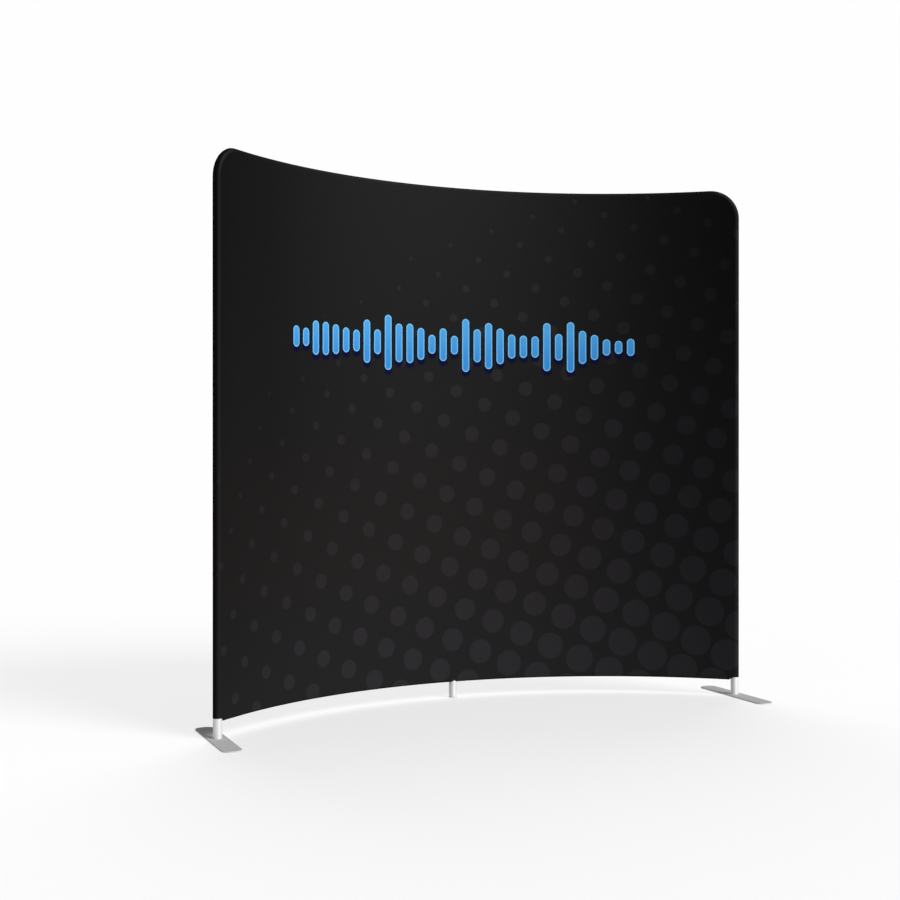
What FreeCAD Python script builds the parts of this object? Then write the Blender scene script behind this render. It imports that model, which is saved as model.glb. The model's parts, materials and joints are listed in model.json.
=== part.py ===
import FreeCAD, Part
import math
import os

# Curved banner wall: a tube frame, bent to an arc in plan, inside a stretch fabric cover.
# Millimetres. +Z is up, the hollow printed side faces -Y, and the origin is on the floor
# under the middle of the whole object. The left side is the mirror image of the right.

# Overall sizes: the posts, bow and corners are taken on the tubes' centre lines
OVERALL_HEIGHT = 2295.5
POST_SPACING = 2388.0
BOW_DEPTH = 467.0
CORNER_RADIUS = 113.0
SKIRT_HEIGHT = 70.5

# Frame tube
TUBE_DIAMETER = 35.0
TUBE_WALL = 1.5
POST_SPLIT_HEIGHT = 1150.0
CORNER_RUN_SPARE = 10.0

# Plugs that join the tubes: spigots, stubs and the tee's arms
SLIDE_FIT = 0.08
PLUG_WALL = 2.5
PLUG_DEPTH = 60.0
BUTTON_SETBACK = 30.0
COLLAR_STEP = 0.5
COLLAR_LENGTH = 4.5
STUB_WEB = 4.0
TEE_HALF_LENGTH = 26.0
TEE_NECK_LENGTH = 10.5

# Snap buttons and their V springs
BUTTON_DIAMETER = 8.0
BUTTON_PROUD = 3.0
BUTTON_EDGE_ROUND = 1.5
BUTTON_FLANGE_DIAMETER = 10.5
BUTTON_FLANGE_THICKNESS = 1.0
HOLE_CLEARANCE = 0.15
SPRING_WIDTH = 7.0
SPRING_THICKNESS = 0.8
SPRING_PAD = 6.0
SPRING_LENGTH = 26.0

# Rivets that hold the spigots
RIVET_DIAMETER = 4.0
RIVET_HEAD_DIAMETER = 8.0
RIVET_HEAD_HEIGHT = 1.2
RIVET_TAIL_DIAMETER = 6.0
RIVET_TAIL_LENGTH = 2.0

# Feet
FOOT_LENGTH = 479.0
FOOT_WIDTH = 80.0
FOOT_THICKNESS = 5.0
FOOT_CORNER_RADIUS = 34.0
FOOT_CORNER_LIMIT_SHARE = 0.45
FOOT_EDGE_ROUND = 1.5
FOOT_FORWARD = 6.0
FOOT_SPIGOT_HEIGHT = 60.0
FOOT_SPIGOT_BASE = 20.0
FOOT_SPIGOT_WALL = 4.0
FOOT_SPIGOT_CHAMFER = 2.0
RUNNING_FIT = 0.08
SCREW_DIAMETER = 8.0
SCREW_LENGTH = 18.0
SCREW_HEAD_DIAMETER = 15.0
SCREW_SINK = 0.3
SCREW_SOCKET_WIDTH = 5.0
SCREW_SOCKET_DEPTH = 2.5

# Glide in the foot of the centre post
GLIDE_THICKNESS = 5.0
GLIDE_PLUG_LENGTH = 20.0
GLIDE_WALL = 3.0
GLIDE_EDGE_ROUND = 1.2

# Fabric cover
FABRIC_THICKNESS = 0.5
FABRIC_CLEARANCE = 0.3
HEM_ROUND = 10.0
LEG_HOLE_SHARE = 0.2
COVER_BAYS = 8

# Zips low on the back of the cover, one each side of the centre post
ZIP_RISE = 65.0
ZIP_TAPE_WIDTH = 14.0
ZIP_INNER_GAP = 46.0
ZIP_OUTER_GAP = 30.0
CHAIN_WIDTH = 4.0
CHAIN_THICKNESS = 1.6
STOP_LENGTH = 3.0
STOP_SPLIT = 1.2
STOP_THICKNESS = 2.2
SLIDER_LENGTH = 14.0
SLIDER_WIDTH = 10.0
SLIDER_WING = 1.2
SLIDER_GAP = 0.3
SLIDER_END_GAP = 1.0
DIAMOND_LENGTH = 3.0
DIAMOND_SIDE_GAP = 0.7
LUG_LENGTH = 4.4
LUG_THICKNESS = 0.9
LUG_SPACING = 4.6
PULL_LENGTH = 26.0
PULL_NECK_LENGTH = 8.0
PULL_WIDTH = 7.0
PULL_THICKNESS = 1.2
PULL_EYE_DIAMETER = 3.0
PULL_BARREL_DIAMETER = 2.4
PULL_PIN_DIAMETER = 1.4
PULL_SIDE_GAP = 0.2

# Cuts run this far past the faces that they pass through
OVERRUN = 2.0

# Worked out from the sizes above
tube_radius = TUBE_DIAMETER / 2
tube_bore = tube_radius - TUBE_WALL
plug_radius = tube_bore - SLIDE_FIT
plug_bore = plug_radius - PLUG_WALL
collar_radius = tube_radius - COLLAR_STEP
cover_radius = tube_radius + FABRIC_CLEARANCE + FABRIC_THICKNESS
cover_inside = cover_radius - FABRIC_THICKNESS
leg_hole_radius = cover_inside + FABRIC_THICKNESS * LEG_HOLE_SHARE
top_z = OVERALL_HEIGHT - cover_radius
bend_z = top_z - CORNER_RADIUS
rail_z = SKIRT_HEIGHT + cover_radius
hem_z = SKIRT_HEIGHT + HEM_ROUND
collar_reach = tube_radius + COLLAR_LENGTH
tee_drop = tube_radius + TEE_NECK_LENGTH

# The plan: an arc whose ends run on in straight tangents, one corner radius long, to the posts
half_spacing = POST_SPACING / 2
wall_radius = (half_spacing ** 2 + BOW_DEPTH ** 2 - CORNER_RADIUS ** 2) / (BOW_DEPTH * 2)
post_angle = math.atan2(half_spacing, wall_radius - BOW_DEPTH)
arc_end = post_angle - math.atan2(CORNER_RADIUS, wall_radius)
foot_front = FOOT_LENGTH / 2 + FOOT_FORWARD
depth = cover_radius + BOW_DEPTH + foot_front
apex_y = depth / 2 - cover_radius
post_y = apex_y - BOW_DEPTH
arc_y = apex_y - wall_radius
corner_run = PLUG_DEPTH + CORNER_RUN_SPARE
corner_joint = arc_end - corner_run / wall_radius
tee_joint = TEE_HALF_LENGTH / wall_radius
stub_joint = collar_reach / wall_radius
plug_angle = PLUG_DEPTH / wall_radius
setback_angle = BUTTON_SETBACK / wall_radius

# Snap button levels, from the axis of the tube that it locks
button_radius = BUTTON_DIAMETER / 2
flange_radius = BUTTON_FLANGE_DIAMETER / 2
flange_top = math.sqrt(plug_bore ** 2 - flange_radius ** 2) - HOLE_CLEARANCE
flange_base = flange_top - BUTTON_FLANGE_THICKNESS
button_top = tube_radius + BUTTON_PROUD

# Zip levels: radii are from the arc's centre, and the fabric's middle layer carries the chain
zip_z = SKIRT_HEIGHT + ZIP_RISE
zip_radius = wall_radius + cover_radius - FABRIC_THICKNESS / 2
zip_inner = ZIP_INNER_GAP / zip_radius
zip_outer = arc_end - ZIP_OUTER_GAP / zip_radius
stop_angle = STOP_LENGTH / zip_radius
slider_park = STOP_LENGTH + SLIDER_END_GAP + SLIDER_LENGTH / 2
slider_angle = zip_outer - slider_park / zip_radius
wing_inside = CHAIN_THICKNESS / 2 + SLIDER_GAP
wing_outside = wing_inside + SLIDER_WING
barrel_radius = PULL_BARREL_DIAMETER / 2
pull_axis = wing_outside + SLIDER_GAP + barrel_radius

ORIGIN = FreeCAD.Vector(0, 0, 0)
UP = FreeCAD.Vector(0, 0, 1)
ACROSS = FreeCAD.Vector(1, 0, 0)
HALF_SHARE = math.sqrt(0.5)


def on_arc(angle, radius, z):
    """Point at an angle from the middle of the wall, towards +X."""
    return FreeCAD.Vector(radius * math.sin(angle), arc_y + radius * math.cos(angle), z)


def along(angle):
    """Level unit vector along the wall, towards +X."""
    return FreeCAD.Vector(math.cos(angle), -math.sin(angle), 0)


def outward(angle):
    """Level unit vector square to the wall, towards its back."""
    return FreeCAD.Vector(math.sin(angle), math.cos(angle), 0)


def turn_about_arc(face, angle):
    """Sweep a face along the wall's arc, towards +X."""
    centre = FreeCAD.Vector(0, arc_y, 0)
    return face.revolve(centre, UP, -math.degrees(angle))


def mirrored(shape):
    return shape.mirror(ORIGIN, ACROSS)


def joined(shapes):
    """Fuse shapes into one solid without leftover seams."""
    return shapes[0].fuse(shapes[1:]).removeSplitter().Solids[0]


def ring(centre, normal, outer, inner):
    disc = Part.Face(Part.Wire(Part.makeCircle(outer, centre, normal)))
    hole = Part.Face(Part.Wire(Part.makeCircle(inner, centre, normal)))
    return disc.cut(hole).Faces[0]


def straight_tube(start, direction, length, outer, inner):
    return ring(start, direction, outer, inner).extrude(direction * length)


def arc_tube(first, last, z, outer, inner):
    face = ring(on_arc(first, wall_radius, z), along(first), outer, inner)
    return turn_about_arc(face, last - first)


def arc_rod(first, last, z, radius):
    circle = Part.makeCircle(radius, on_arc(first, wall_radius, z), along(first))
    return turn_about_arc(Part.Face(Part.Wire(circle)), last - first)


def arc_slab(first, last, inner, outer, low, high):
    """Part of a drum wall: between two radii, two heights and two angles."""
    corners = [on_arc(first, inner, low), on_arc(first, outer, low)]
    corners += [on_arc(first, outer, high), on_arc(first, inner, high)]
    return turn_about_arc(Part.Face(Part.makePolygon(corners + corners[:1])), last - first)


def local_frame(origin, x_axis, z_axis):
    turn = FreeCAD.Rotation(x_axis, z_axis.cross(x_axis), z_axis, "XZY")
    return FreeCAD.Placement(origin, turn)


def placed(shape, frame):
    moved = shape.copy()
    moved.Placement = frame.multiply(shape.Placement)
    return moved


# Posts and their sockets on the right, and the middle of the arc's end there
right_post = FreeCAD.Vector(half_spacing, post_y, 0)
centre_post = FreeCAD.Vector(0, apex_y, 0)
end_along = along(arc_end)
end_outward = outward(arc_end)


# Places where a snap button locks a joint: local X runs along the plug, local Z is the way out
def arc_site(angle, z, toward, way_out):
    return local_frame(on_arc(angle, wall_radius, z), along(angle) * toward, way_out)


split_button = UP * (POST_SPLIT_HEIGHT + BUTTON_SETBACK)
split_rivet = UP * (POST_SPLIT_HEIGHT - BUTTON_SETBACK)
stub_button = right_post - end_along * (collar_reach + BUTTON_SETBACK) + UP * rail_z
tee_button = centre_post + UP * (top_z - tee_drop - BUTTON_SETBACK)

right_sites = {
    "post": local_frame(right_post + split_button, UP, -end_along),
    "corner": arc_site(corner_joint - setback_angle, top_z, -1, -UP),
    "top_rail": arc_site(tee_joint + setback_angle, top_z, 1, -UP),
    "bottom_rail": local_frame(stub_button, -end_along, UP),
    "centre_rail": arc_site(stub_joint + setback_angle, rail_z, 1, UP),
}
centre_sites = {
    "centre_post": local_frame(centre_post + split_button, UP, ACROSS),
    "centre_top": local_frame(tee_button, -UP, ACROSS),
}
rivet_sites = {
    "post": local_frame(right_post + split_rivet, UP, -end_along),
    "corner": arc_site(corner_joint + setback_angle, top_z, 1, -UP),
    "centre_post": local_frame(centre_post + split_rivet, UP, ACROSS),
}


def drill(shape, frame, radius):
    """Drill one wall of a tube or plug from its axis, out past its face."""
    return shape.cut(placed(Part.makeCylinder(radius, button_top), frame)).Solids[0]


def button_hole(shape, frame):
    return drill(shape, frame, button_radius + HOLE_CLEARANCE)


def rivet_hole(shape, frame):
    return drill(shape, frame, RIVET_DIAMETER / 2 + SLIDE_FIT)


def snap_button():
    flange = Part.makeCylinder(flange_radius, BUTTON_FLANGE_THICKNESS, UP * flange_base)
    stem = Part.makeCylinder(button_radius, button_top - flange_top, UP * flange_top)
    rims = [edge for edge in stem.Edges if edge.BoundBox.ZMin > tube_radius]
    return joined([flange, stem.makeFillet(BUTTON_EDGE_ROUND, rims)])


def snap_spring():
    """V strip: one leg under the button, the other on the far wall of the plug."""
    low = math.sqrt(plug_bore ** 2 - (SPRING_WIDTH / 2) ** 2) - HOLE_CLEARANCE
    slope = math.atan2(flange_base, SPRING_LENGTH - SPRING_PAD)
    nose = SPRING_THICKNESS / math.sin(slope)
    outline = [
        (-SPRING_PAD, flange_base),
        (SPRING_PAD, flange_base),
        (SPRING_LENGTH, SPRING_THICKNESS),
        (SPRING_LENGTH, -SPRING_THICKNESS),
        (SPRING_PAD, -low),
        (-SPRING_PAD, -low),
        (-SPRING_PAD, SPRING_THICKNESS - low),
        (SPRING_PAD, SPRING_THICKNESS - low),
        (SPRING_LENGTH - nose, 0),
        (SPRING_PAD, flange_base - SPRING_THICKNESS),
        (-SPRING_PAD, flange_base - SPRING_THICKNESS),
    ]
    points = [FreeCAD.Vector(x, -SPRING_WIDTH / 2, z) for x, z in outline]
    face = Part.Face(Part.makePolygon(points + points[:1]))
    return face.extrude(FreeCAD.Vector(0, SPRING_WIDTH, 0))


def rivet():
    tail_radius = RIVET_TAIL_DIAMETER / 2
    tail_top = math.sqrt(plug_bore ** 2 - tail_radius ** 2) - SLIDE_FIT
    tail_base = tail_top - RIVET_TAIL_LENGTH
    tail = Part.makeCylinder(tail_radius, RIVET_TAIL_LENGTH, UP * tail_base)
    shank = Part.makeCylinder(RIVET_DIAMETER / 2, tube_radius - tail_base, UP * tail_base)
    head = Part.makeCylinder(RIVET_HEAD_DIAMETER / 2, RIVET_HEAD_HEIGHT, UP * tube_radius)
    return joined([tail, shank, head])


# Frame tubes
def lower_post(foot, base, rivet_frame):
    tube = straight_tube(foot + UP * base, UP, POST_SPLIT_HEIGHT - base, tube_radius, tube_bore)
    return rivet_hole(tube, rivet_frame)


def right_upper_post():
    """Straight length, quarter bend at the top corner, and a short run along the arc."""
    start = right_post + UP * POST_SPLIT_HEIGHT
    straight = straight_tube(start, UP, bend_z - POST_SPLIT_HEIGHT, tube_radius, tube_bore)
    run = arc_tube(corner_joint, arc_end, top_z, tube_radius, tube_bore)
    face = ring(on_arc(arc_end, wall_radius, top_z), end_along, tube_radius, tube_bore)
    bend = face.revolve(on_arc(arc_end, wall_radius, bend_z), end_outward, 90)
    tube = joined([straight, bend, run])
    return rivet_hole(button_hole(tube, right_sites["post"]), rivet_sites["corner"])


def centre_upper_post():
    length = top_z - tee_drop - POST_SPLIT_HEIGHT
    start = centre_post + UP * POST_SPLIT_HEIGHT
    tube = straight_tube(start, UP, length, tube_radius, tube_bore)
    return button_hole(button_hole(tube, centre_sites["centre_post"]), centre_sites["centre_top"])


def right_top_rail():
    tube = arc_tube(tee_joint, corner_joint, top_z, tube_radius, tube_bore)
    return button_hole(button_hole(tube, right_sites["top_rail"]), right_sites["corner"])


def right_bottom_rail():
    arc = arc_tube(stub_joint, arc_end, rail_z, tube_radius, tube_bore)
    start = on_arc(arc_end, wall_radius, rail_z)
    run = straight_tube(start, end_along, CORNER_RADIUS - collar_reach, tube_radius, tube_bore)
    tube = joined([arc, run])
    return button_hole(button_hole(tube, right_sites["centre_rail"]), right_sites["bottom_rail"])


# Plugs
def post_spigot(foot, button_frame, rivet_frame):
    start = foot + UP * (POST_SPLIT_HEIGHT - PLUG_DEPTH)
    tube = straight_tube(start, UP, PLUG_DEPTH * 2, plug_radius, plug_bore)
    return rivet_hole(button_hole(tube, button_frame), rivet_frame)


def right_corner_spigot():
    first = corner_joint - plug_angle
    tube = arc_tube(first, corner_joint + plug_angle, top_z, plug_radius, plug_bore)
    return rivet_hole(button_hole(tube, right_sites["corner"]), rivet_sites["corner"])


def right_post_stub():
    """Welded socket for the bottom rail's outer end, with a saddle that fits the post."""
    start = right_post + UP * rail_z
    collar = Part.makeCylinder(collar_radius, collar_reach, start, -end_along)
    plug = Part.makeCylinder(plug_radius, collar_reach + PLUG_DEPTH, start, -end_along)
    web = start - end_along * (tube_radius + STUB_WEB)
    bore = Part.makeCylinder(plug_bore, collar_reach + PLUG_DEPTH, web, -end_along)
    post = Part.makeCylinder(tube_radius, rail_z + collar_reach, right_post)
    return button_hole(joined([collar, plug]).cut([bore, post]), right_sites["bottom_rail"])


def right_centre_stub():
    """Welded socket for the bottom rail's inner end, curved with the wall."""
    collar = arc_rod(0, stub_joint, rail_z, collar_radius)
    plug = arc_rod(0, stub_joint + plug_angle, rail_z, plug_radius)
    web = (tube_radius + STUB_WEB) / wall_radius
    bore = arc_rod(web, stub_joint + plug_angle + web, rail_z, plug_bore)
    post = Part.makeCylinder(tube_radius, rail_z + collar_reach, centre_post)
    return button_hole(joined([collar, plug]).cut([bore, post]), right_sites["centre_rail"])


def top_tee():
    """Joins both top rails and carries the head of the centre post."""
    middle = centre_post + UP * top_z
    seat = middle - UP * tee_drop
    web = plug_bore + STUB_WEB
    hub = arc_rod(-tee_joint, tee_joint, top_z, tube_radius)
    arm = arc_rod(tee_joint, tee_joint + plug_angle, top_z, plug_radius)
    neck = Part.makeCylinder(collar_radius, tee_drop, middle, -UP)
    leg = Part.makeCylinder(plug_radius, PLUG_DEPTH, seat, -UP)
    bore_end = tee_joint + plug_angle * 2
    through = arc_rod(-bore_end, bore_end, top_z, plug_bore)
    down = Part.makeCylinder(plug_bore, tee_drop + PLUG_DEPTH, middle - UP * web, -UP)
    tee = joined([hub, arm, mirrored(arm), neck, leg]).cut([through, down]).Solids[0]
    right_hole = placed(Part.makeCylinder(button_radius + HOLE_CLEARANCE, button_top),
                        right_sites["top_rail"])
    tee = tee.cut([right_hole, mirrored(right_hole)]).Solids[0]
    return button_hole(tee, centre_sites["centre_top"])


# Feet
def right_foot_plate():
    corner = FreeCAD.Vector(-FOOT_WIDTH / 2, -foot_front, 0) + right_post
    plate = Part.makeBox(FOOT_WIDTH, FOOT_LENGTH, FOOT_THICKNESS, corner)
    uprights = [edge for edge in plate.Edges if edge.BoundBox.ZLength > FOOT_THICKNESS / 2]
    corner_radius = min(FOOT_CORNER_RADIUS, FOOT_WIDTH * FOOT_CORNER_LIMIT_SHARE)
    plate = plate.makeFillet(corner_radius, uprights)
    rim = [edge for edge in plate.Edges if edge.BoundBox.ZMin > FOOT_THICKNESS / 2]
    plate = plate.makeFillet(FOOT_EDGE_ROUND, rim)
    return plate.cut(foot_screw_hole()).Solids[0]


def foot_screw_body(growth):
    """Countersunk head and shank, all larger by a growth when it is the hole that they fit."""
    shank_radius = SCREW_DIAMETER / 2 + growth
    head_radius = SCREW_HEAD_DIAMETER / 2 + growth
    base = right_post + UP * SCREW_SINK
    cone = Part.makeCone(head_radius, shank_radius, head_radius - shank_radius, base)
    shank = Part.makeCylinder(shank_radius, SCREW_LENGTH + growth, base)
    return joined([cone, shank])


def foot_screw_hole():
    mouth = Part.makeCylinder(SCREW_HEAD_DIAMETER / 2 + SLIDE_FIT, SCREW_SINK, right_post)
    return joined([foot_screw_body(SLIDE_FIT), mouth])


def right_foot_screw():
    screw = foot_screw_body(0)
    corner_radius = SCREW_SOCKET_WIDTH / math.sqrt(3)
    corners = [
        right_post + UP * SCREW_SINK + FreeCAD.Vector(
            corner_radius * math.cos(math.radians(60 * step)),
            corner_radius * math.sin(math.radians(60 * step)), 0)
        for step in range(6)
    ]
    socket = Part.Face(Part.makePolygon(corners + corners[:1])).extrude(UP * SCREW_SOCKET_DEPTH)
    return screw.cut(socket).Solids[0]


def right_foot_spigot():
    """Pin that the side post stands on and turns about."""
    radius = tube_bore - RUNNING_FIT
    base = right_post + UP * FOOT_THICKNESS
    pin = Part.makeCylinder(radius, FOOT_SPIGOT_HEIGHT, base)
    tops = [edge for edge in pin.Edges if edge.BoundBox.ZMin > FOOT_SPIGOT_HEIGHT]
    pin = pin.makeChamfer(FOOT_SPIGOT_CHAMFER, tops)
    core = Part.makeCylinder(radius - FOOT_SPIGOT_WALL, FOOT_SPIGOT_HEIGHT, base + UP * FOOT_SPIGOT_BASE)
    return pin.cut([core, foot_screw_hole()]).Solids[0]


def centre_glide():
    flange = Part.makeCylinder(tube_radius, GLIDE_THICKNESS, centre_post)
    bottoms = [edge for edge in flange.Edges if edge.BoundBox.ZMax < GLIDE_THICKNESS / 2]
    flange = flange.makeFillet(GLIDE_EDGE_ROUND, bottoms)
    seat = centre_post + UP * GLIDE_THICKNESS
    plug = Part.makeCylinder(plug_radius, GLIDE_PLUG_LENGTH, seat)
    core = Part.makeCylinder(plug_radius - GLIDE_WALL, GLIDE_PLUG_LENGTH, seat)
    return joined([flange, plug]).cut(core).Solids[0]


# Fabric cover. Its section is given as points (out, z), where out is the distance from the
# frame's middle surface; side is 1 for the front panel and -1 for the back panel.
def quarter_arc(centre, radius, down):
    """Points at the start, middle and end of a quarter circle that faces away from the wall."""
    out, z = centre
    step = -radius if down else radius
    rim = [(out + radius, z), (out + radius * HALF_SHARE, z + step * HALF_SHARE), (out, z + step)]
    return rim if down else rim[::-1]


def section_face(runs, to_space):
    """Close runs of points into a face; a run of three is an arc, and of two a straight edge."""
    edges = []
    for run in runs:
        ends = [to_space(*point) for point in run]
        if len(ends) == 3:
            edges.append(Part.Arc(*ends).toShape())
        else:
            edges.append(Part.makeLine(*ends))
    return Part.Face(Part.Wire(edges))


def linked(runs):
    """Join neighbouring runs, and the last to the first, with straight edges."""
    whole = []
    for run, following in zip(runs, runs[1:] + runs[:1]):
        whole.append(run)
        if run[-1] != following[0]:
            whole.append([run[-1], following[0]])
    return whole


hem_centre = (cover_radius - HEM_ROUND, hem_z)
top_outside = quarter_arc((0, top_z), cover_radius, False)
top_inside = quarter_arc((0, top_z), cover_inside, False)[::-1]
hem_outside = quarter_arc(hem_centre, HEM_ROUND, True)
hem_inside = quarter_arc(hem_centre, HEM_ROUND - FABRIC_THICKNESS, True)[::-1]
seam = [(0, SKIRT_HEIGHT), (0, SKIRT_HEIGHT + FABRIC_THICKNESS)]


def cover_middle(side):
    """The cover along the arc: over the top rail, down the face and under the bottom rail."""
    runs = linked([top_outside, hem_outside, seam, hem_inside, top_inside])
    bay = arc_end * 2 / COVER_BAYS
    bays = []
    for count in range(COVER_BAYS):
        first = count * bay - arc_end
        face = section_face(runs, lambda out, z: on_arc(first, wall_radius - side * out, z))
        bays.append(turn_about_arc(face, bay))
    return bays


def cover_right_end(side):
    """The flat stretch beside the post, with the wraps round the post and the top corner."""
    front = end_outward * -side

    def end_point(run_out, out, z):
        return on_arc(arc_end, wall_radius, z) + end_along * run_out + front * out

    edge = CORNER_RADIUS
    middle = CORNER_RADIUS * HALF_SHARE
    corner = [(edge, bend_z), (middle, bend_z + middle), (0, top_z)]
    runs = linked([corner, [(0, hem_z), (edge, hem_z)]])
    sheet = section_face(runs, lambda run_out, z: end_point(run_out, cover_inside, z))
    sheet = sheet.extrude(front * FABRIC_THICKNESS)

    runs = linked([hem_outside, seam, hem_inside])
    hem = section_face(runs, lambda out, z: end_point(0, out, z)).extrude(end_along * edge)

    runs = linked([top_outside, top_inside])
    wrap = section_face(runs, lambda out, z: end_point(0, out, z))
    bend_centre = on_arc(arc_end, wall_radius, bend_z)
    corner_wrap = wrap.revolve(bend_centre, end_outward, 90)
    post_face = wrap.copy()
    post_face.rotate(bend_centre, end_outward, 90)
    post_wrap = post_face.extrude(-UP * (bend_z - SKIRT_HEIGHT - leg_arch_rise()))
    return [sheet, hem, corner_wrap, post_wrap]


def leg_arch_rise():
    """Height to which a leg's hole climbs the rounded lower edge of the cover."""
    depth = HEM_ROUND - (cover_radius - leg_hole_radius)
    return HEM_ROUND - math.sqrt(HEM_ROUND ** 2 - depth ** 2)


def cover_panel(side):
    right_end = cover_right_end(side)
    whole = cover_middle(side) + right_end + [mirrored(part) for part in right_end]
    whole = whole[0].fuse(whole[1:]).Solids[0]
    hole = Part.makeCylinder(leg_hole_radius, hem_z + OVERRUN, right_post)
    middle_hole = Part.makeCylinder(leg_hole_radius, hem_z + OVERRUN, centre_post)
    return whole.cut([hole, mirrored(hole), middle_hole]).Solids[0]


def back_panel():
    half = CHAIN_WIDTH / 2 + ZIP_TAPE_WIDTH
    outside = zip_radius + cover_radius
    window = arc_slab(zip_inner, zip_outer, wall_radius, outside, zip_z - half, zip_z + half)
    return cover_panel(-1).cut([window, mirrored(window)]).Solids[0]


# Zips
def zip_layer(first, last, thickness, low, high):
    """Curved strip centred on the fabric's thickness, with heights from the zip's line."""
    inner = zip_radius - thickness / 2
    return arc_slab(first, last, inner, inner + thickness, zip_z + low, zip_z + high)


def right_zip_tapes():
    near = CHAIN_WIDTH / 2
    far = near + ZIP_TAPE_WIDTH
    upper = zip_layer(zip_inner, zip_outer, FABRIC_THICKNESS, near, far)
    lower = zip_layer(zip_inner, zip_outer, FABRIC_THICKNESS, -far, -near)
    return [upper, lower]


def right_zip_chain():
    half = CHAIN_WIDTH / 2
    return zip_layer(zip_inner + stop_angle, slider_angle, CHAIN_THICKNESS, -half, half)


def right_zip_stops():
    half = CHAIN_WIDTH / 2
    split = STOP_SPLIT / 2
    inner = zip_layer(zip_inner, zip_inner + stop_angle, STOP_THICKNESS, -half, half)
    first = zip_outer - stop_angle
    upper = zip_layer(first, zip_outer, STOP_THICKNESS, split, half)
    lower = zip_layer(first, zip_outer, STOP_THICKNESS, -half, -split)
    return [inner, upper, lower]


slider_frame = local_frame(on_arc(slider_angle, zip_radius, zip_z), along(slider_angle), UP)


def slider_box(first, last, inner, outer, low, high):
    """Box at the slider: along the wall, out from the fabric, and up."""
    corner = FreeCAD.Vector(first, inner, low)
    return placed(Part.makeBox(last - first, outer - inner, high - low, corner), slider_frame)


def slider_pin(radius, half_length):
    base = FreeCAD.Vector(0, pull_axis, -half_length)
    return placed(Part.makeCylinder(radius, half_length * 2, base), slider_frame)


def right_zip_slider():
    """Two wings over and under the chain, a diamond between them, and lugs for the pull."""
    half_turn = SLIDER_LENGTH / 2 / zip_radius
    low, high = zip_z - SLIDER_WIDTH / 2, zip_z + SLIDER_WIDTH / 2
    wings = [
        arc_slab(slider_angle - half_turn, slider_angle + half_turn, inner, inner + SLIDER_WING, low, high)
        for inner in (zip_radius + wing_inside, zip_radius - wing_outside)
    ]
    core = wing_inside + SLIDER_WING / 2
    diamond_end = SLIDER_LENGTH / 2 - SLIDER_GAP
    diamond_half = CHAIN_WIDTH / 2 - DIAMOND_SIDE_GAP
    diamond = slider_box(diamond_end - DIAMOND_LENGTH, diamond_end, -core, core,
                         -diamond_half, diamond_half)
    lug_top = pull_axis + barrel_radius
    inside = LUG_SPACING / 2
    outside = inside + LUG_THICKNESS
    lugs = [
        slider_box(-LUG_LENGTH / 2, LUG_LENGTH / 2, core, lug_top, inside, outside),
        slider_box(-LUG_LENGTH / 2, LUG_LENGTH / 2, core, lug_top, -outside, -inside),
    ]
    bore = slider_pin(PULL_PIN_DIAMETER / 2 + RUNNING_FIT, outside + OVERRUN)
    return joined(wings + [diamond] + lugs).cut(bore).Solids[0]


def right_zip_pull():
    """Tab with an eye, on a barrel whose pins turn in the slider's lugs."""
    half_neck = LUG_SPACING / 2 - PULL_SIDE_GAP
    face = pull_axis - PULL_THICKNESS / 2
    back = pull_axis + PULL_THICKNESS / 2
    end_radius = PULL_WIDTH / 2
    eye_x = PULL_LENGTH - end_radius
    barrel = slider_pin(barrel_radius, half_neck)
    pins = slider_pin(PULL_PIN_DIAMETER / 2, LUG_SPACING / 2 + LUG_THICKNESS)
    neck = slider_box(0, PULL_NECK_LENGTH, face, back, -half_neck, half_neck)
    tab = slider_box(PULL_NECK_LENGTH - PULL_THICKNESS, eye_x, face, back, -end_radius, end_radius)
    across = FreeCAD.Vector(0, 1, 0)
    eye_centre = FreeCAD.Vector(eye_x, face, 0)
    end = placed(Part.makeCylinder(end_radius, PULL_THICKNESS, eye_centre, across), slider_frame)
    eye = placed(Part.makeCylinder(PULL_EYE_DIAMETER / 2, PULL_THICKNESS, eye_centre, across), slider_frame)
    return joined([barrel, pins, neck, tab, end]).cut(eye).Solids[0]


# Every node of the part: the right side's pieces and their mirror images, then the middle's
def side_pieces():
    pieces = {
        "lower_post": lower_post(right_post, FOOT_THICKNESS, rivet_sites["post"]),
        "upper_post": right_upper_post(),
        "top_rail": right_top_rail(),
        "bottom_rail": right_bottom_rail(),
        "post_spigot": post_spigot(right_post, right_sites["post"], rivet_sites["post"]),
        "corner_spigot": right_corner_spigot(),
        "post_stub": right_post_stub(),
        "centre_stub": right_centre_stub(),
        "foot_plate": right_foot_plate(),
        "foot_spigot": right_foot_spigot(),
        "foot_screw": right_foot_screw(),
        "zip_tapes": Part.makeCompound(right_zip_tapes()),
        "zip_chain": right_zip_chain(),
        "zip_stops": Part.makeCompound(right_zip_stops()),
        "zip_slider": right_zip_slider(),
        "zip_pull": right_zip_pull(),
    }
    for name, frame in right_sites.items():
        pieces[name + "_button"] = placed(snap_button(), frame)
    return pieces


def middle_pieces():
    pieces = {
        "centre_lower_post": lower_post(centre_post, GLIDE_THICKNESS, rivet_sites["centre_post"]),
        "centre_upper_post": centre_upper_post(),
        "centre_post_spigot": post_spigot(
            centre_post, centre_sites["centre_post"], rivet_sites["centre_post"]),
        "centre_glide": centre_glide(),
        "top_tee": top_tee(),
        "front_panel": cover_panel(1),
        "back_panel": back_panel(),
    }
    for name, frame in centre_sites.items():
        pieces[name + "_button"] = placed(snap_button(), frame)
    return pieces


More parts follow.
